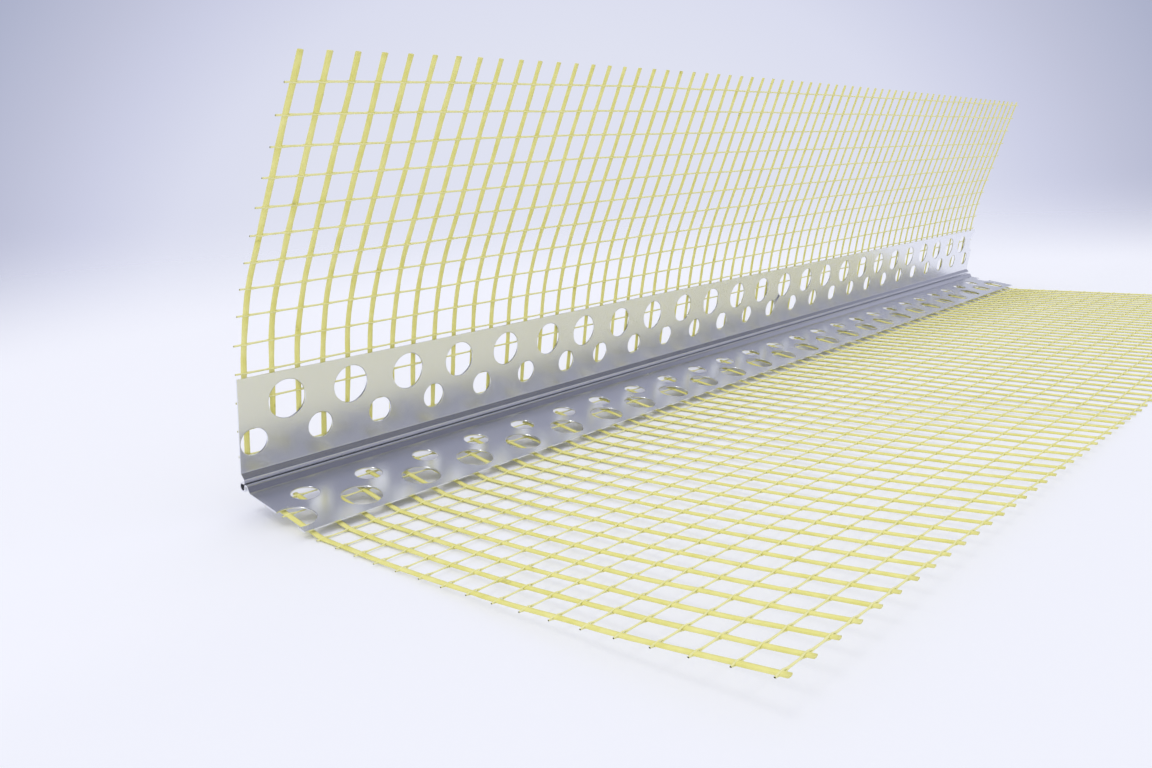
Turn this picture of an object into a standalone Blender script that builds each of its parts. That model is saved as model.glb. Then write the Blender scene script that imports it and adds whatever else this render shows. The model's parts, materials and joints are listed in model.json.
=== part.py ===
"""Drywall corner bead: a roll-formed, perforated aluminium angle with glass-fibre mesh wings.

Lengths are in metres and +Z is up. The bead runs along X. Its section is drawn in the angle's
own axes, where the inner faces of the two flanges are the planes y = 0 and z = 0, and the whole
bead is then tipped forward by `lean`, because it lies on its flat wing with the corner lifted.
"""
import bpy
import bmesh
from math import acos, atan, cos, exp, pi, radians, sin
from mathutils import Vector

# The angle
bead_length = 0.325
sheet_thickness = 0.00027
upright_flange_width = 0.01925
flat_flange_width = 0.01925
lean = radians(10)

# The nose: a rounded corner pinched between two shoulders
nose_inner_radius = 0.00113
shoulder_rise = 0.00048
shoulder_blend = 0.0011
nose_steps = 12

# The punched holes: places along the bead are measured from the near end, the large row from each
# flange's free edge and the small row from the inner corner
hole_pitch = 0.0127
large_hole_diameter = 0.0069
small_hole_diameter = 0.0048
large_row_inset = 0.0051
small_row_height = 0.0078
upright_large_start = 0.0089
upright_small_start = 0.0026
flat_large_start = 0.0013
flat_small_start = 0.0072
stroke_joint = 0.081
stroke_overlap = 0.00106
end_bridge = 0.00015

# The glass-fibre mesh
strand_width = 0.0010
strand_height = 0.0006
thread_width = 0.00036
strand_pitch = 0.00492
strand_margin = 0.00175
thread_pitch = 0.00495
bond_gap = 0.0003
upright_root_thread = 1
upright_last_thread = 14
upright_tip_near = 0.0044
upright_tip_far = 0.0010
flat_thread_pitch = 0.005
flat_first_thread = 0.0215
flat_thread_count = 17
flat_root_threads_behind = 3
flat_tip = 0.0008
threads_per_bar = 3

# How the free mesh stands and lies
upright_bend_start = 0.020
upright_bend_length = 0.018
upright_bend_near = radians(24.4)
upright_bend_far = radians(8)
upright_bend_fade = 0.125
flat_corner_lift = 0.0058
flat_corner_reach = 0.145


def clear_scene():
    for item in list(bpy.data.objects):
        bpy.data.objects.remove(item, do_unlink=True)


def material(name, colour, roughness, metallic):
    made = bpy.data.materials.new(name)
    made.use_nodes = True
    shader = made.node_tree.nodes["Principled BSDF"]
    shader.inputs["Base Color"].default_value = (*colour, 1.0)
    shader.inputs["Roughness"].default_value = roughness
    shader.inputs["Metallic"].default_value = metallic
    made.diffuse_color = (*colour, 1.0)
    return made


def add_object(name, mesh, look):
    made = bpy.data.objects.new(name, mesh)
    made.data.materials.append(look)
    bpy.context.scene.collection.objects.link(made)
    return made


# The angle's section

def inner_path():
    """The sheet's inner face, from the upright flange's top round the nose to the flat edge.

    Each flange eases in to a shoulder that stands `shoulder_rise` proud of it. The nose is one
    round arc from shoulder to shoulder, and it just touches the planes of both flanges.
    """
    centre = Vector((-nose_inner_radius, nose_inner_radius))
    pinch = acos(1.0 - shoulder_rise / nose_inner_radius)
    ease = nose_inner_radius * (1.0 + sin(pinch)) + shoulder_blend
    points = [Vector((0.0, upright_flange_width)), Vector((0.0, ease))]
    for step in range(nose_steps + 1):
        angle = pinch - (pi / 2 + 2 * pinch) * step / nose_steps
        points.append(centre + nose_inner_radius * Vector((cos(angle), sin(angle))))
    points.append(Vector((-ease, 0.0)))
    points.append(Vector((-flat_flange_width, 0.0)))
    return points


def offset_path(points, distance):
    """The same path moved out by one sheet thickness, with mitred corners."""
    moved = []
    for index, point in enumerate(points):
        before = points[max(index - 1, 0)]
        after = points[min(index + 1, len(points) - 1)]
        into = (point - before).normalized() if index else (after - point).normalized()
        out = (after - point).normalized() if index < len(points) - 1 else into
        left = Vector((-into.y, into.x))
        right = Vector((-out.y, out.x))
        mitre = (left + right).normalized()
        moved.append(point + mitre * distance / max(mitre.dot(left), 0.5))
    return moved


def extrude_section(name, outline, length):
    """A closed outline in the YZ plane, extruded along +X."""
    mesh = bpy.data.meshes.new(name)
    work = bmesh.new()
    corners = [work.verts.new((0.0, point.x, point.y)) for point in outline]
    face = work.faces.new(corners)
    result = bmesh.ops.extrude_face_region(work, geom=[face])
    grown = [item for item in result["geom"] if isinstance(item, bmesh.types.BMVert)]
    bmesh.ops.translate(work, verts=grown, vec=(length, 0.0, 0.0))
    bmesh.ops.recalc_face_normals(work, faces=work.faces)
    work.to_mesh(mesh)
    work.free()
    return mesh


def row_of_holes(first, diameter):
    """Hole centres along the bead. The punch tool's second stroke overlaps its first a little."""
    centres = []
    count = int((bead_length + hole_pitch) / hole_pitch) + 1
    for index in range(count):
        place = first + index * hole_pitch
        if place > stroke_joint:
            place -= stroke_overlap
        near = place - diameter / 2
        far = bead_length - place - diameter / 2
        if -diameter < near and -diameter < far:
            if all(abs(gap) > end_bridge for gap in (near, far)):
                centres.append(place)
    return centres


def punches(name, rows, sides):
    """Round punches through a flange that lies in the plane z = 0, joined into one cutter."""
    mesh = bpy.data.meshes.new(name)
    work = bmesh.new()
    for centres, offset, diameter in rows:
        for place in centres:
            made = bmesh.ops.create_cone(work, cap_ends=True, segments=sides, radius1=diameter / 2,
                                         radius2=diameter / 2, depth=0.004)
            bmesh.ops.translate(work, verts=made["verts"], vec=(place, -offset, 0.0))
    work.to_mesh(mesh)
    work.free()
    cutter = bpy.data.objects.new(name, mesh)
    bpy.context.scene.collection.objects.link(cutter)
    cutter.hide_render = True
    cutter.display_type = "WIRE"
    return cutter


# The mesh wings

def upright_surface(place, along):
    """A point of the upright wing and its outward normal, in the angle's axes.

    The wing is bonded to the back of the upright flange. Just above it the mesh bends forward on
    an arc, by an angle that fades along the bead, and from there on it stands straight.
    """
    base = sheet_thickness + bond_gap
    angle = upright_bend_far + (upright_bend_near - upright_bend_far) * exp(-place / upright_bend_fade)
    radius = upright_bend_length / angle
    bent = min(max(along - upright_bend_start, 0.0), upright_bend_length)
    turned = bent / radius
    beyond = max(along - upright_bend_start - upright_bend_length, 0.0)
    forward = radius * (1.0 - cos(turned)) + beyond * sin(turned)
    height = min(along, upright_bend_start) + radius * sin(turned) + beyond * cos(turned)
    point = Vector((place, base - forward, height))
    normal = Vector((0.0, cos(turned), sin(turned)))
    return point, normal


def flat_surface(place, along):
    """The same for the flat wing: under the flat flange, then along the floor, tipped by `lean`.

    The wing's near outer corner curls up off the floor.
    """
    base = -(sheet_thickness + bond_gap)
    free = max(along - flat_first_thread, 0.0)
    span = (flat_thread_count - 1) * flat_thread_pitch
    curl = flat_corner_lift * max(1.0 - place / flat_corner_reach, 0.0)
    lift = curl * (free / span) ** 2
    slope = 2.0 * curl * free / span ** 2
    tip = atan(slope) + (lean if free else 0.0)
    point = Vector((place, -min(along, flat_first_thread), base))
    point += Vector((0.0, -free * cos(lean), free * sin(lean)))
    point += Vector((0.0, lift * sin(lean), lift * cos(lean)))
    normal = Vector((0.0, -sin(tip), -cos(tip)))
    return point, normal


def woven_wing(name, surface, strands, threads, tip_near, tip_far):
    """Strands across the wing and threads along it, fused where they cross.

    Each bar has a flat face towards the flange and one ridge behind. Every strand starts at the
    first thread and runs past the last one, to a cut edge that may be a little slanted.
    """
    mesh = bpy.data.meshes.new(name)
    work = bmesh.new()
    half_strand = strand_width / 2
    half_thread = thread_width / 2

    def corner(place, along):
        return work.verts.new(surface(place, along)[0])

    def ridge(place, along):
        point, normal = surface(place, along)
        return work.verts.new(point + normal * strand_height)

    crossings = []
    for place in strands:
        column = []
        for along in threads:
            column.append({
                "ridge": ridge(place, along),
                "low_left": corner(place - half_strand, along - half_thread),
                "low_right": corner(place + half_strand, along - half_thread),
                "high_left": corner(place - half_strand, along + half_thread),
                "high_right": corner(place + half_strand, along + half_thread),
            })
        crossings.append(column)

    def face(*corners):
        work.faces.new(corners)

    for i, column in enumerate(crossings):
        for j, here in enumerate(column):
            face(here["low_left"], here["low_right"], here["high_right"], here["high_left"])
            if j + 1 < len(column):
                above = column[j + 1]
                face(here["high_left"], here["high_right"], above["low_right"], above["low_left"])
                face(here["ridge"], here["high_left"], above["low_left"], above["ridge"])
                face(here["ridge"], above["ridge"], above["low_right"], here["high_right"])
            if i + 1 < len(crossings):
                beside = crossings[i + 1][j]
                face(here["low_right"], beside["low_left"], beside["high_left"], here["high_right"])
                face(here["ridge"], here["high_right"], beside["high_left"], beside["ridge"])
                face(here["ridge"], beside["ridge"], beside["low_left"], here["low_right"])
            if i == 0:
                face(here["ridge"], here["low_left"], here["high_left"])
            if i == len(crossings) - 1:
                face(here["ridge"], here["high_right"], here["low_right"])
        foot = column[0]
        face(foot["ridge"], foot["low_right"], foot["low_left"])
        head = column[-1]
        tip = tip_near + (tip_far - tip_near) * strands[i] / bead_length
        end = threads[-1] + half_thread + tip
        left = corner(strands[i] - half_strand, end)
        right = corner(strands[i] + half_strand, end)
        top = ridge(strands[i], end)
        face(head["high_left"], head["high_right"], right, left)
        face(head["ridge"], head["high_left"], left, top)
        face(head["ridge"], top, right, head["high_right"])
        face(top, left, right)
    bmesh.ops.recalc_face_normals(work, faces=work.faces)
    work.to_mesh(mesh)
    work.free()
    return mesh


def strand_places():
    count = int((bead_length - 2 * strand_margin) / strand_pitch) + 1
    return [strand_margin + index * strand_pitch for index in range(count)]


def bar_numbers(first, last):
    """One thread in every `threads_per_bar`, with the first and the outermost always kept."""
    numbers = list(range(first, last, threads_per_bar))
    if last - numbers[-1] < threads_per_bar:
        numbers[-1] = last
    else:
        numbers.append(last)
    return numbers


def upright_threads():
    return [number * thread_pitch
            for number in bar_numbers(upright_root_thread, upright_last_thread)]


def flat_threads():
    return [flat_first_thread + number * flat_thread_pitch
            for number in bar_numbers(-flat_root_threads_behind, flat_thread_count - 1)]


# Build

clear_scene()
aluminium = material("aluminium", (0.62, 0.63, 0.66), 0.32, 1.0)
glass_fibre = material("coated_glass_fibre", (0.78, 0.70, 0.22), 0.55, 0.0)

bead_axes = bpy.data.objects.new("bead_axes", None)
bpy.context.scene.collection.objects.link(bead_axes)

inner = inner_path()
outer = offset_path(inner, sheet_thickness)
profile_mesh = extrude_section("corner_profile", inner + outer[::-1], bead_length)
corner_profile = add_object("corner_profile", profile_mesh, aluminium)

flat_punches = punches("flat_punches", (
    (row_of_holes(flat_large_start, large_hole_diameter),
     flat_flange_width - large_row_inset, large_hole_diameter),
    (row_of_holes(flat_small_start, small_hole_diameter), small_row_height, small_hole_diameter),
), 12)
upright_punches = punches("upright_punches", (
    (row_of_holes(upright_large_start, large_hole_diameter),
     upright_flange_width - large_row_inset, large_hole_diameter),
    (row_of_holes(upright_small_start, small_hole_diameter), small_row_height, small_hole_diameter),
), 12)
upright_punches.rotation_euler = (-pi / 2, 0.0, 0.0)

for cutter in (flat_punches, upright_punches):
    cut = corner_profile.modifiers.new(cutter.name, "BOOLEAN")
    cut.operation = "DIFFERENCE"
    cut.object = cutter
    cut.solver = "EXACT"

upright_mesh = add_object(
    "upright_mesh",
    woven_wing("upright_mesh", upright_surface, strand_places(), upright_threads(),
               upright_tip_near, upright_tip_far),
    glass_fibre)
flat_mesh = add_object(
    "flat_mesh",
    woven_wing("flat_mesh", flat_surface, strand_places(), flat_threads(), flat_tip, flat_tip),
    glass_fibre)

for piece in (corner_profile, upright_mesh, flat_mesh, flat_punches, upright_punches):
    piece.parent = bead_axes

# Tip the bead as it lies, and bring the middle of its footprint to the origin
bead_axes.rotation_euler = (lean, 0.0, 0.0)
bpy.context.view_layer.update()
tipped = [piece.matrix_world @ vertex.co
          for piece in (corner_profile, upright_mesh, flat_mesh) for vertex in piece.data.vertices]
low = Vector([min(point[axis] for point in tipped) for axis in range(3)])
high = Vector([max(point[axis] for point in tipped) for axis in range(3)])
bead_axes.location = (-(low.x + high.x) / 2, -(low.y + high.y) / 2, -low.z)
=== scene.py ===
# %% [markdown]
# # A corner bead for plasterboard
#
# This notebook dresses a metal corner bead: a thin aluminium angle, punched with rows of holes,
# with a yellow glass-fibre mesh bonded behind each flange. The sizes of the bead are already
# settled in a plain model. Here that model is loaded as a fixed frame, and every visible piece
# is made anew around it, in the same place and in metres.

# %% Load the plain model
import bmesh
import bpy
import json
from math import acos, atan, cos, exp, hypot, pi, radians, sin, tan
from mathutils import Euler, Matrix, Vector, noise


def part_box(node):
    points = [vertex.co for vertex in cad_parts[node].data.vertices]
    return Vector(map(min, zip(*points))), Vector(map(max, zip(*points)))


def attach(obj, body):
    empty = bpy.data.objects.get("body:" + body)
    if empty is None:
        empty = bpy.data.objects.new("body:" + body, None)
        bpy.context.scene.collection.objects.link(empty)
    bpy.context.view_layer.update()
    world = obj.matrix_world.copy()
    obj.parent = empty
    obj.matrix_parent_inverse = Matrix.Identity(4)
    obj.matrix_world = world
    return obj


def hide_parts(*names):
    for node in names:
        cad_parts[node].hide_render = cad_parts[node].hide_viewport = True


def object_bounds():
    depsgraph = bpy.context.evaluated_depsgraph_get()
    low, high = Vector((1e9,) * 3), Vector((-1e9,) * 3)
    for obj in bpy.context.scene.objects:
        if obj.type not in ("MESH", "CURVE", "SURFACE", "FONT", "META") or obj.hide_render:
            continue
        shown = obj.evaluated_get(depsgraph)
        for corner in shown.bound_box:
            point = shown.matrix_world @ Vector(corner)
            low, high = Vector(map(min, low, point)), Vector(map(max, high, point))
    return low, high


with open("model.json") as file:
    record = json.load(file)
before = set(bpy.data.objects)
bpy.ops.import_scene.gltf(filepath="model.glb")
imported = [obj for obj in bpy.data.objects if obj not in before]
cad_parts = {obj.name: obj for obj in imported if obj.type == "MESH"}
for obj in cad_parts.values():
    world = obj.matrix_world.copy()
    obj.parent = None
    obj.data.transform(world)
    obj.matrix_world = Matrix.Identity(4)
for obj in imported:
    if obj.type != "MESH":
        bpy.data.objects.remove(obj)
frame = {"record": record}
cad_low, cad_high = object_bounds()
cad_size = cad_high - cad_low
print("plain model, mm:", [round(side * 1000, 1) for side in cad_size])

# %% [markdown]
# ## The bead's own axes
#
# The bead lies tipped forward, so its flanges stand in no world plane. It is far easier to model
# a section in the angle's own axes, where the inner faces of the flanges are the planes y = 0
# and z = 0, and to tip the finished piece at the end. The two flat faces that the record states
# as mounts give those axes: one faces along -Y of the angle, the other along +Z.

# %% Find the angle's axes
mounts = {mount["name"]: mount for mount in frame["record"]["mounts"]}
upright_face = mounts["board_face_upright"]
flat_face = mounts["board_face_flat"]
across = -Vector(upright_face["axis"]).normalized()
upward = Vector(flat_face["axis"]).normalized()
along_bead = Vector((1.0, 0.0, 0.0))
near_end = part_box("corner_profile")[0].x
corner = across * across.dot(Vector(upright_face["pos_m"]))
corner += upward * upward.dot(Vector(flat_face["pos_m"]))
corner.x = near_end

to_world = Matrix.Identity(4)
for column, direction in enumerate((along_bead, across, upward)):
    for row in range(3):
        to_world[row][column] = direction[row]
to_world.translation = corner
lean = acos(upward.z)
print("corner, mm:", [round(value * 1000, 2) for value in corner], "lean:", round(lean, 4))

# %% [markdown]
# ## The camera
#
# The picture is taken from close by, with a wide lens, low over the near end of the bead. Its
# place was worked out from the holes, whose spacing is known. The lens is given in millimetres
# for Blender's usual 36 mm sensor.

# %% Place the camera
camera_data = bpy.data.cameras.new("camera")
camera_data.lens = 28.623
camera_data.sensor_width = 36.0
camera_data.clip_start = 0.005
camera = bpy.data.objects.new("camera", camera_data)
camera.location = to_world @ Vector((-0.0680, -0.13129, 0.0719))
camera.rotation_euler = Euler((1.34896, 0.048988, -0.828163), "XYZ")
bpy.context.scene.collection.objects.link(camera)
bpy.context.scene.camera = camera
print("camera, mm:", [round(value * 1000, 1) for value in camera.location])

# %% [markdown]
# ## Working by hand, in code
#
# Blender's modelling operators act on whatever is selected. So each step first clears the
# selection, then picks faces or edges by where they are, and only then calls the operator.

# %% Helpers for selecting and finishing
def clear_selection():
    if bpy.context.object and bpy.context.object.mode != "OBJECT":
        bpy.ops.object.mode_set(mode="OBJECT")
    bpy.ops.object.select_all(action="DESELECT")


def only(piece):
    """Select this one object and make it the active one."""
    clear_selection()
    piece.select_set(True)
    bpy.context.view_layer.objects.active = piece


def pick(piece, kind, wanted):
    """Enter edit mode with only the vertices, edges or faces selected that `wanted` accepts.

    `wanted` is asked with the list of corner points of each element.
    """
    only(piece)
    bpy.ops.object.mode_set(mode="EDIT")
    bpy.ops.mesh.select_mode(type=kind)
    bpy.ops.mesh.select_all(action="DESELECT")
    bpy.ops.object.mode_set(mode="OBJECT")
    mesh = piece.data
    if kind == "VERT":
        for vertex in mesh.vertices:
            vertex.select = wanted([vertex.co])
    else:
        elements = mesh.edges if kind == "EDGE" else mesh.polygons
        for element in elements:
            element.select = wanted([mesh.vertices[index].co for index in element.vertices])
    bpy.ops.object.mode_set(mode="EDIT")


def leave_edit_mode():
    bpy.ops.object.mode_set(mode="OBJECT")


def apply_modifier(piece, kind, **settings):
    """Add a modifier, set it up and apply it."""
    only(piece)
    modifier = piece.modifiers.new(kind.lower(), kind)
    for name, value in settings.items():
        setattr(modifier, name, value)
    bpy.ops.object.modifier_apply(modifier=modifier.name)


def volume_of(piece):
    work = bmesh.new()
    work.from_mesh(piece.data)
    volume = work.calc_volume(signed=True)
    work.free()
    return volume


def triangles_of(piece):
    return sum(len(face.vertices) - 2 for face in piece.data.polygons)


print("helpers ready")

# %% [markdown]
# ## The folded sheet
#
# The real bead starts as a flat strip of aluminium 0.27 mm thick. A roll former folds it a little
# at a time, until it has two flat flanges and a round hollow nose. Beside the nose, each flange
# rises to a low flat ridge, and the two ridges nearly close the nose. A box with a bevelled edge
# would miss all that. So the strip is made the way the rolls make it: a plane for the first
# flange, extruded edge by edge round the section, with Blender's Spin tool for the nose.

# %% Sizes of the section
bead_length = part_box("corner_profile")[1].x - near_end
sheet_thickness = 0.00027
flange_width = 0.01925
ridge_rise = 0.0010
ridge_top = 0.00185
slot_depth = 0.00091
nose_bulge = 0.0003
rise_angle = radians(52)
nose_steps = 30
ease = ridge_top + ridge_rise / tan(rise_angle)
nose_radius = (slot_depth + nose_bulge) / 2
nose_depth = nose_radius - nose_bulge
nose_centre = Vector((0.0, -nose_depth, nose_depth))
nose_sweep = 3 * pi / 2
print("flanges are flat from, mm:", round(ease * 1000, 2), "nose radius:", nose_radius * 1000)

# %% Fold the strip
def corner_at(depth, height):
    """A point of the upright half of the section: so deep in front of the flange, so high."""
    return Vector((0.0, -depth, height))


def mirrored(point):
    """The same point of the flat half of the section."""
    return Vector((0.0, -point.z, -point.y))


def extrude_edge(start, end):
    bpy.ops.mesh.extrude_edges_move(TRANSFORM_OT_translate={"value": end - start})


def at(y, z):
    """A test for edges that run along the bead at this place of the section."""
    return lambda points: all(hypot(point.y - y, point.z - z) < 0.00002 for point in points)


foot = corner_at(0.0, ease)
ridge = corner_at(ridge_rise, ridge_top)
lip = corner_at(ridge_rise, slot_depth)
nose_start = corner_at(nose_depth, slot_depth)

clear_selection()
bpy.ops.mesh.primitive_plane_add(
    size=bead_length, location=(bead_length / 2, 0.0, bead_length / 2), rotation=(pi / 2, 0.0, 0.0))
bead = bpy.context.object
bead.name = "bead_profile"
bpy.ops.object.transform_apply(location=True, rotation=True, scale=True)
pick(bead, "VERT", lambda points: points[0].z > bead_length / 2)
bpy.ops.transform.translate(value=(0.0, 0.0, flange_width - bead_length))
leave_edit_mode()
pick(bead, "VERT", lambda points: points[0].z < flange_width / 2)
bpy.ops.transform.translate(value=foot)
leave_edit_mode()

pick(bead, "EDGE", at(foot.y, foot.z))
for start, end in ((foot, ridge), (ridge, lip), (lip, nose_start)):
    extrude_edge(start, end)
bpy.ops.mesh.spin(steps=nose_steps, angle=nose_sweep, center=nose_centre, axis=along_bead,
                  dupli=False)
for start, end in ((nose_start, lip), (lip, ridge), (ridge, foot)):
    extrude_edge(mirrored(start), mirrored(end))
extrude_edge(Vector(), Vector((0.0, ease - flange_width, 0.0)))
bpy.ops.mesh.select_all(action="SELECT")
bpy.ops.mesh.remove_doubles(threshold=0.00001)
leave_edit_mode()
last = min(bead.data.vertices, key=lambda vertex: vertex.co.y).co
print("flat flange ends at y, z, mm:", [round(value * 1000, 2) for value in last.yz])

# %% [markdown]
# The rolls can't fold a dead sharp line. Each crease gets a radius from Bevel: the feet of the
# ridges a small one, the ridges and the lips of the nose a larger one, more than the sheet's
# thickness. Bevel comes before the wall gets its thickness, so that the inside and the outside
# stay parallel, as in sheet metal.

# %% Round the creases and give the wall its thickness
foot_bevel = 0.0001
fold_radius = 0.0003
fold_steps = 6
ridge_bevel = fold_radius * tan(rise_angle / 2)


def either_side(point):
    """A test for edges along the bead at this point or at its mirror image."""
    other = mirrored(point)
    return lambda points: at(point.y, point.z)(points) or at(other.y, other.z)(points)


for point, width in ((foot, foot_bevel), (ridge, ridge_bevel), (lip, fold_radius)):
    pick(bead, "EDGE", either_side(point))
    bpy.ops.mesh.bevel(offset=width, segments=fold_steps, affect="EDGES", clamp_overlap=False)
    leave_edit_mode()
first_face = max(bead.data.polygons, key=lambda face: face.center.z)
faces_out = first_face.normal.y > 0
apply_modifier(bead, "SOLIDIFY", thickness=sheet_thickness, offset=1.0 if faces_out else -1.0,
               use_even_offset=True)
if volume_of(bead) < 0:
    bead.data.flip_normals()
print("sheet volume, mm3:", round(volume_of(bead) * 1e9, 1), "faces out:", faces_out)

# %% [markdown]
# ## The punched holes
#
# A punch pulls the sheet a little way into its die before it shears, so each hole has a soft,
# rolled-over rim on one side. Here it is the inner side. A Bevel on some hundred cut edges is
# fragile, because Boolean leaves long thin faces there. So the rim goes on the punch itself: a
# cylinder that flares out at the sheet's inner face. Each size of punch is made once and copied.

# %% One punch of each size
punch_reach = 0.0009
rim_radius = 0.00013
rim_steps = 3


def make_punch(name, diameter, sides):
    """A round punch that points up, with the sheet's inner face at z = 0."""
    clear_selection()
    shank = punch_reach - rim_radius
    bpy.ops.mesh.primitive_cylinder_add(
        vertices=sides, radius=diameter / 2, depth=shank, location=(0.0, 0.0, -rim_radius - shank / 2))
    punch = bpy.context.object
    punch.name = name
    bpy.ops.object.transform_apply(location=True, rotation=True, scale=True)
    pick(punch, "FACE", lambda points: all(point.z > -rim_radius - 0.00001 for point in points))
    radius = diameter / 2
    height = -rim_radius
    for step in range(1, rim_steps + 1):
        turn = pi / 2 * step / rim_steps
        wider = diameter / 2 + rim_radius * (1.0 - cos(turn))
        higher = -rim_radius * (1.0 - sin(turn))
        bpy.ops.mesh.extrude_region_move(
            TRANSFORM_OT_translate={"value": (0.0, 0.0, higher - height)})
        bpy.ops.transform.resize(value=(wider / radius, wider / radius, 1.0))
        radius = wider
        height = higher
    bpy.ops.mesh.extrude_region_move(TRANSFORM_OT_translate={"value": (0.0, 0.0, punch_reach)})
    leave_edit_mode()
    return punch


large_diameter = 0.0069
small_diameter = 0.0048
large_sides = 44
small_sides = 36
large_punch = make_punch("large_punch", large_diameter, large_sides)
small_punch = make_punch("small_punch", small_diameter, small_sides)
print("punch volumes, mm3:", [round(volume_of(each) * 1e9, 1) for each in (large_punch, small_punch)])

# %% [markdown]
# The press punches 81 mm of the strip in one stroke and then feeds it on. The two strokes overlap
# by a millimetre, so one bridge between the holes is narrower than the rest. Each flange has a
# row of large holes and a row of small ones, half a pitch apart.

# %% Copy the punches along both flanges
hole_pitch = 0.0127
stroke_joint = 0.081
stroke_overlap = 0.00106
end_bridge = 0.00015
large_row = flange_width - 0.0051
small_row = 0.0078
upright_large_start = 0.0089
upright_small_start = 0.0026
flat_large_start = 0.0013
flat_small_start = 0.0072
smooth_below = radians(13)


def hole_places(first, diameter):
    """Where a row's holes are, from the near end of the bead. The end holes are cut through."""
    places = []
    for index in range(int(bead_length / hole_pitch) + 2):
        place = first + index * hole_pitch
        if place > stroke_joint:
            place -= stroke_overlap
        gaps = (place - diameter / 2, bead_length - place - diameter / 2)
        if all(gap > -diameter and abs(gap) > end_bridge for gap in gaps):
            places.append(place)
    return places


def punch_rows(name, rows, turn):
    """Copies of the punches along two rows, joined into one cutter and turned to its flange."""
    copies = []
    for punch, places, height in rows:
        for place in places:
            copy = bpy.data.objects.new(name, punch.data.copy())
            bpy.context.scene.collection.objects.link(copy)
            copy.location = (place, turn.y * height, turn.z * height)
            copy.rotation_euler = (pi / 2 if turn.z else 0.0, 0.0, 0.0)
            copies.append(copy)
    clear_selection()
    for copy in copies:
        copy.select_set(True)
    bpy.context.view_layer.objects.active = copies[0]
    bpy.ops.object.join()
    cutter = bpy.context.object
    bpy.ops.object.transform_apply(location=True, rotation=True, scale=True)
    return cutter


upright_cutter = punch_rows("upright_holes", (
    (large_punch, hole_places(upright_large_start, large_diameter), large_row),
    (small_punch, hole_places(upright_small_start, small_diameter), small_row)),
    Vector((0.0, 0.0, 1.0)))
flat_cutter = punch_rows("flat_holes", (
    (large_punch, hole_places(flat_large_start, large_diameter), large_row),
    (small_punch, hole_places(flat_small_start, small_diameter), small_row)),
    Vector((0.0, -1.0, 0.0)))
only(upright_cutter)
flat_cutter.select_set(True)
bpy.ops.object.join()
apply_modifier(bead, "BOOLEAN", operation="DIFFERENCE", object=upright_cutter, solver="EXACT")
for tool in (upright_cutter, large_punch, small_punch):
    bpy.data.objects.remove(tool, do_unlink=True)
only(bead)
bpy.ops.object.shade_smooth_by_angle(angle=smooth_below)
bead.matrix_world = to_world
bpy.ops.object.transform_apply(location=True, rotation=True, scale=True)
print("bead triangles:", triangles_of(bead), "volume, mm3:", round(volume_of(bead) * 1e9, 1))

# %% [markdown]
# ## Shader sums
#
# A material is a graph of nodes, and long graphs are hard to read. The small class below wraps
# a node's output, so that sums and products can be written as plain arithmetic. Every operator
# adds one Math node.

# %% A socket that can be used in sums
class Wire:
    """The output of a node, for use in expressions and as another node's input."""

    def __init__(self, graph, socket):
        self.graph = graph
        self.socket = socket

    def sum_node(self, operation, left, right):
        return self.graph.node("ShaderNodeMath", {"operation": operation}, {0: left, 1: right})

    def __add__(self, other):
        return self.sum_node("ADD", self, other)

    def __radd__(self, other):
        return self.sum_node("ADD", other, self)

    def __sub__(self, other):
        return self.sum_node("SUBTRACT", self, other)

    def __rsub__(self, other):
        return self.sum_node("SUBTRACT", other, self)

    def __mul__(self, other):
        return self.sum_node("MULTIPLY", self, other)

    def __rmul__(self, other):
        return self.sum_node("MULTIPLY", other, self)

    def __truediv__(self, other):
        return self.sum_node("DIVIDE", self, other)

    def __rtruediv__(self, other):
        return self.sum_node("DIVIDE", other, self)


class Graph:
    """A tree of shader nodes, with one way to add any node to it."""

    def __init__(self, tree):
        self.tree = tree

    def node(self, kind, settings=None, inputs=None, output=0):
        """Add a node, set it up, feed its inputs with numbers or wires, and return one output."""
        made = self.tree.nodes.new(kind)
        for name, value in (settings or {}).items():
            if name == "stops":
                self.set_stops(made.color_ramp, value)
            else:
                setattr(made, name, value)
        for name, value in (inputs or {}).items():
            self.feed(made.inputs[name], value)
        return Wire(self, made.outputs[output])

    def feed(self, socket, value):
        if isinstance(value, Wire):
            self.tree.links.new(value.socket, socket)
        else:
            socket.default_value = value

    def set_stops(self, ramp, stops):
        while len(ramp.elements) < len(stops):
            ramp.elements.new(1.0)
        for element, (place, colour) in zip(ramp.elements, stops):
            element.position = place
            element.color = colour

    def mix(self, share, first, second):
        """A colour between two others."""
        return self.node("ShaderNodeMix", {"data_type": "RGBA"}, {0: share, 6: first, 7: second}, 2)

    def blend(self, share, first, second):
        """A shader between two others."""
        return self.node("ShaderNodeMixShader", inputs={0: share, 1: first, 2: second})

    def soft_step(self, value, start, end):
        """0 up to `start` and 1 from `end` on, with a soft change between."""
        return self.node("ShaderNodeMapRange", {"interpolation_type": "SMOOTHSTEP"}, {
            "Value": value, "From Min": start, "From Max": end})

    def show(self, wire, holder):
        """Make this wire the surface of the material or the world."""
        self.feed(self.tree.nodes[holder].inputs["Surface"], wire)


class Finish(Graph):
    """A material with a Principled shader."""

    def __init__(self, name):
        self.material = bpy.data.materials.new(name)
        self.material.use_nodes = True
        super().__init__(self.material.node_tree)
        self.shader = self.tree.nodes["Principled BSDF"]

    def surface(self, **inputs):
        """Feed the shader: base_color is its Base Color, and so on."""
        for name, value in inputs.items():
            self.feed(self.shader.inputs[name.replace("_", " ").title()], value)


print("shader helpers ready")

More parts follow.
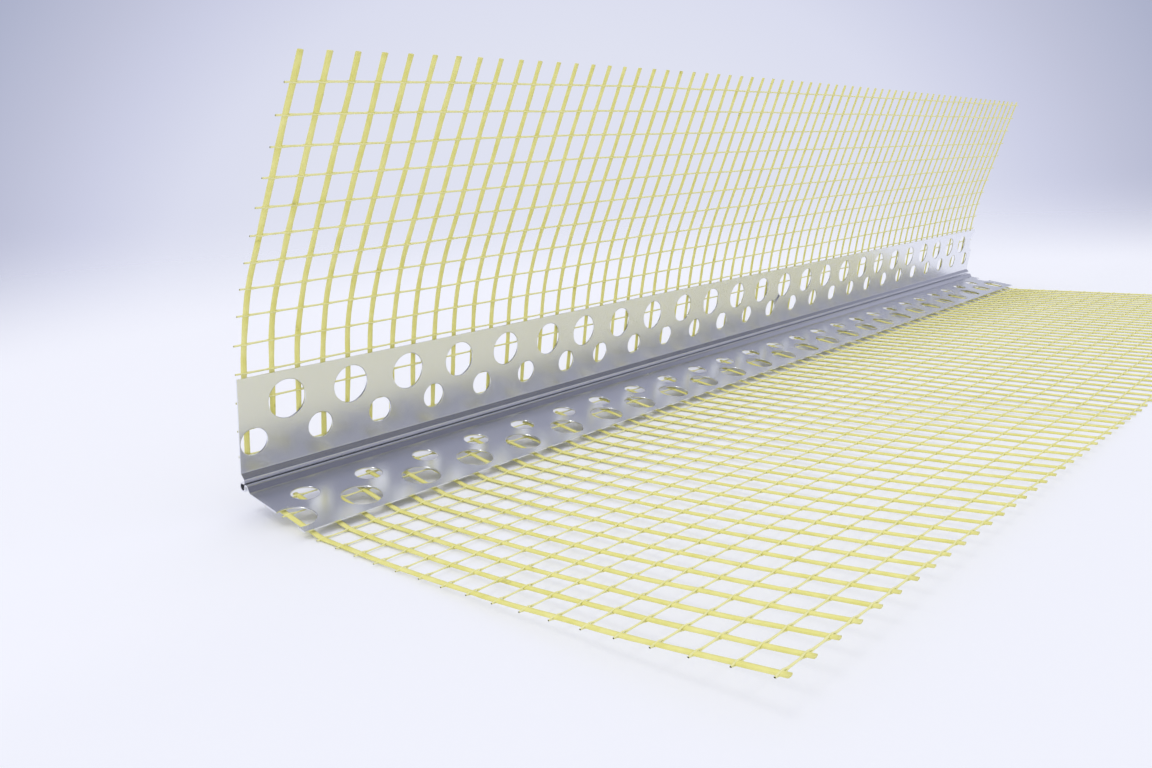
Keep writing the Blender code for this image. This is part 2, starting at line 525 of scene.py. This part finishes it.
# %% [markdown]
# ## Aluminium, as it leaves the rolls
#
# Rolled aluminium is no mirror. The rolls leave very fine lines along the strip, which spread a
# reflection across them, and the folding leaves shallow ripples. Both are too small to model,
# so they are bump, made from noise that is stretched along the bead. The roughness changes a
# little from place to place, where hands and machines have rubbed it.

# %% Bare aluminium
aluminium = Finish("bare_aluminium")
place = aluminium.node("ShaderNodeTexCoord", output="Object")
grain_place = aluminium.node("ShaderNodeMapping", inputs={
    "Vector": place, "Scale": (150.0, 7000.0, 7000.0)})
grain = aluminium.node("ShaderNodeTexNoise", inputs={
    "Vector": grain_place, "Scale": 1.0, "Detail": 2.0})
ripple_place = aluminium.node("ShaderNodeMapping", inputs={
    "Vector": place, "Scale": (45.0, 130.0, 130.0)})
ripple = aluminium.node("ShaderNodeTexNoise", inputs={
    "Vector": ripple_place, "Scale": 1.0, "Detail": 1.5})
rubbed = aluminium.node("ShaderNodeTexNoise", inputs={
    "Vector": place, "Scale": 260.0, "Detail": 4.0})
relief = ripple * 0.5 + grain * 0.02
bumped = aluminium.node("ShaderNodeBump", inputs={
    "Strength": 0.3, "Distance": 0.0002, "Height": relief})
tint = aluminium.mix(rubbed, (0.82, 0.83, 0.87, 1.0), (0.88, 0.89, 0.93, 1.0))
aluminium.surface(
    base_color=tint, metallic=1.0, roughness=0.20 + rubbed * 0.10, normal=bumped)
bead.data.materials.clear()
bead.data.materials.append(aluminium.material)
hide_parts("corner_profile")
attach(bead, "root")
print("aluminium nodes:", len(aluminium.tree.nodes))

# %% [markdown]
# ## The glass-fibre mesh
#
# The mesh is a leno weave. Flat bundles of glass fibre, about a millimetre wide, run across the
# wing. Along the bead, two thin yarns run together: one passes over each bundle, the other under
# it, and they change sides between the bundles, which locks the crossing. Then the whole mesh is
# dipped in yellow coating. Each bundle and yarn is a bent tube, so it is made in mesh code: one
# function sweeps an oval section along any path.

# %% How the wings stand and lie
strand_pitch = 0.00492
strand_margin = 0.00175
strand_count = int((bead_length - 2 * strand_margin) / strand_pitch) + 1
bond_gap = 0.0003
upright_bend_start = 0.020
upright_bend_length = 0.018
upright_bend_near = radians(24.4)
upright_bend_far = radians(8)
upright_bend_fade = 0.125
flat_first_thread = 0.0215
flat_span = 0.080
flat_corner_lift = 0.0058
flat_corner_reach = 0.145


def upright_surface(place, along):
    """A point of the upright wing's inner side, and the way its outer side faces.

    Just above the flange the mesh bends forward on an arc, less and less along the bead.
    """
    base = sheet_thickness + bond_gap
    angle = upright_bend_far + (upright_bend_near - upright_bend_far) * exp(-place / upright_bend_fade)
    radius = upright_bend_length / angle
    bent = min(max(along - upright_bend_start, 0.0), upright_bend_length)
    turned = bent / radius
    beyond = max(along - upright_bend_start - upright_bend_length, 0.0)
    forward = radius * (1.0 - cos(turned)) + beyond * sin(turned)
    height = min(along, upright_bend_start) + radius * sin(turned) + beyond * cos(turned)
    return Vector((place, base - forward, height)), Vector((0.0, cos(turned), sin(turned)))


def flat_surface(place, along):
    """The same for the flat wing: under the flange, then along the floor.

    Its near outer corner curls up off the floor.
    """
    base = -(sheet_thickness + bond_gap)
    free = max(along - flat_first_thread, 0.0)
    curl = flat_corner_lift * max(1.0 - place / flat_corner_reach, 0.0)
    lift = curl * (free / flat_span) ** 2
    tip = atan(2.0 * curl * free / flat_span ** 2) + (lean if free else 0.0)
    point = Vector((place, -min(along, flat_first_thread), base))
    point += Vector((0.0, -free * cos(lean), free * sin(lean)))
    point += Vector((0.0, lift * sin(lean), lift * cos(lean)))
    return point, Vector((0.0, -sin(tip), -cos(tip)))


print("strands in each wing:", strand_count)

# %% Sweep an oval section along a path
def sweep(work, path, sides):
    """A closed tube. `path` lists (centre, width direction, thickness direction, width, height)."""
    rings = []
    for centre, wide, thick, width, height in path:
        ring = []
        for side in range(sides):
            turn = 2.0 * pi * (side + 0.5) / sides
            ring.append(work.verts.new(
                centre + wide * (cos(turn) * width / 2) + thick * (sin(turn) * height / 2)))
        rings.append(ring)
    for before, after in zip(rings, rings[1:]):
        for side in range(sides):
            following = (side + 1) % sides
            work.faces.new((before[side], before[following], after[following], after[side]))
    work.faces.new(rings[0][::-1])
    work.faces.new(rings[-1])


mesh_depth = 0.0003
probe = 0.0005
strand_width = 0.00102
strand_height = 0.00042
strand_sides = 8
yarn_width = 0.00030
yarn_height = 0.00020
yarn_sides = 6
yarn_steps = 6
yarn_rise = 0.00024
yarn_swing = 0.00003
yarn_closing = 0.0007
yarn_drift = 0.00018
strand_step = 0.0016
strand_drift = 0.00022
strand_swell = 0.16


def strand(work, surface, number, start, end):
    """One flat bundle across the wing. It wanders a little, and its width changes."""
    place = strand_margin + number * strand_pitch
    steps = max(int((end - start) / strand_step), 2)
    path = []
    for step in range(steps + 1):
        along = start + (end - start) * step / steps
        drift = strand_drift * noise.noise(Vector((number * 7.3, along * 90.0, 1.0)))
        swell = 1.0 + strand_swell * noise.noise(Vector((number * 3.1, along * 260.0, 5.0)))
        point, out = surface(place + drift, along)
        ahead = surface(place + drift, along + probe)[0] - surface(place + drift, along - probe)[0]
        wide = ahead.cross(out).normalized()
        thick = wide.cross(ahead).normalized()
        path.append((point + out * mesh_depth, wide, thick, strand_width * swell, strand_height))
    sweep(work, path, strand_sides)


def yarn(work, surface, along, phase, start, end):
    """One of the two thin yarns of a thread, weaving over and under the bundles."""
    steps = int((end - start) / (strand_pitch / yarn_steps))
    path = []
    for step in range(steps + 1):
        place = start + (end - start) * step / steps
        turn = pi * (place - strand_margin) / strand_pitch + phase
        overrun = max(strand_margin - place, place - bead_length + strand_margin, 0.0)
        parting = cos(turn) ** 5 * max(1.0 - overrun / yarn_closing, 0.0)
        drift = yarn_drift * noise.noise(Vector((place * 60.0, along * 900.0, 9.0)))
        point, out = surface(place, along + drift + yarn_swing * sin(turn))
        centre = point + out * (mesh_depth + yarn_rise * parting)
        wide = (surface(place, along + probe)[0] - surface(place, along - probe)[0]).normalized()
        path.append((centre, wide, out, yarn_width, yarn_height))
    sweep(work, path, yarn_sides)


def weave(name, surface, root, threads, tips, tail):
    """A whole wing: every bundle, and two yarns for each thread, as one mesh.

    The bundles run past the last thread by `tips`, given for the near and the far end of the
    bead. The threads run past the end bundles by about `tail`.
    """
    work = bmesh.new()
    thin = work.faces.layers.float.new("thin")
    for number in range(strand_count):
        share = number / (strand_count - 1)
        strand(work, surface, number, root, threads[-1] + tips[0] + (tips[1] - tips[0]) * share)
    bundle_faces = len(work.faces)
    for along in threads:
        start = strand_margin - tail * (1.0 + 0.25 * noise.noise(Vector((along * 700.0, 2.0, 0.0))))
        end = bead_length - start
        for phase in (0.0, pi):
            yarn(work, surface, along, phase, start, end)
    for number, face in enumerate(work.faces):
        face[thin] = 1.0 if number >= bundle_faces else 0.0
    mesh = bpy.data.meshes.new(name)
    bmesh.ops.recalc_face_normals(work, faces=work.faces)
    work.to_mesh(mesh)
    work.free()
    mesh.transform(to_world)
    mesh.shade_smooth()
    wing = bpy.data.objects.new(name, mesh)
    bpy.context.scene.collection.objects.link(wing)
    print(name, "triangles:", triangles_of(wing))
    return wing


# %% Weave both wings
thread_pitch = 0.00495
flat_thread_pitch = 0.005
upright_root_thread = 0.00525
upright_threads = [upright_root_thread] + [number * thread_pitch for number in range(2, 15)]
flat_threads = [flat_first_thread + number * flat_thread_pitch for number in range(-3, 17)]
upright_root = 0.0046
upright_tips = (0.0046, 0.0012)
upright_tail = 0.0016
flat_root = 0.0055
flat_tips = (0.0010, 0.0010)
flat_tail = 0.0011
upright_wing = weave(
    "upright_wing", upright_surface, upright_root, upright_threads, upright_tips, upright_tail)
flat_wing = weave("flat_wing", flat_surface, flat_root, flat_threads, flat_tips, flat_tail)

# %% [markdown]
# ## Yellow coating
#
# The coating is a soft, half-matt yellow plastic over the glass. It is thin, so the bundles look
# darker and greener where the fibres lie close under it, and paler where it pools at a crossing.
# Fine noise gives the streaks, and a second, coarser noise the spots.

# %% Coated glass fibre
coating = Finish("coated_glass_fibre")
place = coating.node("ShaderNodeTexCoord", output="Object")
streaks = coating.node("ShaderNodeTexNoise", inputs={
    "Vector": place, "Scale": 2600.0, "Detail": 2.0})
spots = coating.node("ShaderNodeTexNoise", inputs={
    "Vector": place, "Scale": 420.0, "Detail": 3.0})
tone = coating.node("ShaderNodeValToRGB", {"stops": (
    (0.20, (0.52, 0.47, 0.12, 1.0)),
    (0.30, (0.78, 0.735, 0.21, 1.0)),
    (0.70, (0.87, 0.825, 0.32, 1.0)))}, {"Fac": spots})
relief = streaks * 0.6 + spots * 0.4
bumped = coating.node("ShaderNodeBump", inputs={
    "Strength": 0.3, "Distance": 0.0001, "Height": relief})
thin = coating.node("ShaderNodeAttribute", {"attribute_name": "thin"}, output=2)
tone = coating.mix(thin * 0.55, tone, (0.88, 0.86, 0.50, 1.0))
coating.surface(base_color=tone, roughness=0.42 + streaks * 0.2, normal=bumped)
for wing, node in ((upright_wing, "upright_mesh"), (flat_wing, "flat_mesh")):
    wing.data.materials.append(coating.material)
    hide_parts(node)
    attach(wing, "root")


def cloth_area(wing):
    """The wing's flat area as a cloth: half of the surface of all its fibres."""
    return sum(face.area for face in wing.data.polygons) / 2


print("cloth areas, cm2:", [round(cloth_area(wing) * 1e4, 1) for wing in (upright_wing, flat_wing)])

# %% [markdown]
# ## Table and light
#
# The bead lies on a pale, slightly blue table. A hard edge where a table meets a wall would draw
# the eye, so this table fades out: its material turns transparent with distance, and the sky
# behind it has the same colour. In front of the bead the camera sees it with softened shadows,
# because the threads would otherwise make it look dirty. The sky lights everything evenly. Where
# the camera sees the sky itself, it darkens towards the sides, as the paper behind a studio table
# does. The metal sees a room: that paper, a window above it, grey walls, a dark space over them
# and a soft light in the ceiling. Bare metal looks like metal only where it has both light and
# dark to reflect.

# %% The table
table_radius = 8.0
fade_start = 0.27
fade_end = 4.0
front_start = -0.09
front_end = -0.15
shadow_lift = 0.55
lift_start = 0.030
lift_end = 0.005
table_paint = Finish("pale_table")
place = table_paint.node("ShaderNodeTexCoord", output="Object")
distance = table_paint.node("ShaderNodeVectorMath", {"operation": "LENGTH"}, {0: place}, output=1)
table_paint.surface(base_color=(0.90, 0.905, 0.98, 1.0), roughness=0.8)
gone = table_paint.soft_step(1.0 / distance, 1.0 / fade_start, 1.0 / fade_end)
depth = table_paint.node("ShaderNodeSeparateXYZ", inputs={0: place}, output=1)
past_front = table_paint.soft_step(depth, front_start, front_end)
reflected = table_paint.node("ShaderNodeLightPath", output=3)
gone = gone.sum_node("MAXIMUM", gone, past_front * reflected)
clear = table_paint.node("ShaderNodeBsdfTransparent")
glow = table_paint.node("ShaderNodeEmission", inputs={"Color": (0.86, 0.875, 0.97, 1.0)})
looked_at = table_paint.node("ShaderNodeLightPath")
in_front = table_paint.soft_step(depth, lift_start, lift_end)
plain_paint = Wire(table_paint, table_paint.shader.outputs[0])
paint = table_paint.blend(looked_at * in_front * shadow_lift, plain_paint, glow)
faded = table_paint.blend(gone, paint, clear)
table_paint.show(faded, "Material Output")
clear_selection()
bpy.ops.mesh.primitive_circle_add(vertices=96, radius=table_radius, fill_type="NGON")
table = bpy.context.object
table.name = "table"
table.data.materials.append(table_paint.material)
print("table fades from, mm:", fade_start * 1000, "to", fade_end * 1000)

# %% The sky
paper_middle = Vector((0.711, 0.668, -0.22))
sky = bpy.data.worlds.new("sky")
sky.use_nodes = True
bpy.context.scene.world = sky
air = Graph(sky.node_tree)
direction = air.node("ShaderNodeTexCoord")
towards = air.node("ShaderNodeVectorMath", {"operation": "DOT_PRODUCT"}, {
    0: direction, 1: paper_middle.normalized()}, output=1)
height = air.node("ShaderNodeSeparateXYZ", inputs={0: direction}, output=2)
paper = air.node("ShaderNodeValToRGB", {"stops": (
    (0.30, (0.33, 0.35, 0.46, 1.0)),
    (0.80, (0.42, 0.45, 0.60, 1.0)),
    (0.84, (0.52, 0.54, 0.69, 1.0)),
    (0.87, (0.60, 0.62, 0.78, 1.0)),
    (0.905, (0.70, 0.72, 0.86, 1.0)),
    (0.94, (0.74, 0.76, 0.88, 1.0)))}, {"Fac": towards})
overhead = air.soft_step(height, 0.22, 0.60)
studio = air.mix(overhead, paper, (0.95, 0.97, 1.0, 1.0))


def around(aim, start, end):
    """1 close to this direction and 0 away from it, with a soft edge."""
    near = air.node("ShaderNodeVectorMath", {"operation": "DOT_PRODUCT"}, {
        0: direction, 1: Vector(aim).normalized()}, output=1)
    return air.soft_step(near, start, end)


above_wall = air.soft_step(height, 0.28, 0.48)
room = air.mix(above_wall, (0.43, 0.44, 0.54, 1.0), (0.14, 0.145, 0.19, 1.0))
ceiling_light = air.soft_step(height, 0.84, 0.97)
room = air.mix(ceiling_light, room, (0.45, 0.46, 0.54, 1.0))
room = air.mix(around((0.60, 0.60, 0.53), 0.80, 0.93), room, (0.95, 0.97, 1.0, 1.0))
room = air.mix(around(paper_middle, 0.72, 0.86), room, paper)
camera_ray = air.node("ShaderNodeLightPath")
glossy_ray = air.node("ShaderNodeLightPath", output=3)
seen = air.node("ShaderNodeBackground", inputs={"Color": air.mix(glossy_ray, studio, room)})
even = air.node("ShaderNodeBackground", inputs={
    "Color": (0.96, 0.97, 1.0, 1.0), "Strength": 0.92})
air.show(air.blend(camera_ray + glossy_ray, even, seen), "World Output")
print("sky nodes:", len(air.tree.nodes))

# %% The lamp
key_direction = Vector((3.1, 0.9, -6.2))
key_data = bpy.data.lights.new("key", "SUN")
key_data.energy = 0.48
key_data.angle = radians(16)
key = bpy.data.objects.new("key", key_data)
key.rotation_euler = key_direction.to_track_quat("-Z", "Y").to_euler()
bpy.context.scene.collection.objects.link(key)

# %% Finish
bpy.context.scene.view_settings.view_transform = "Standard"
print("cad box, mm:", [round(value * 1000, 1) for value in (*cad_low, *cad_high)])
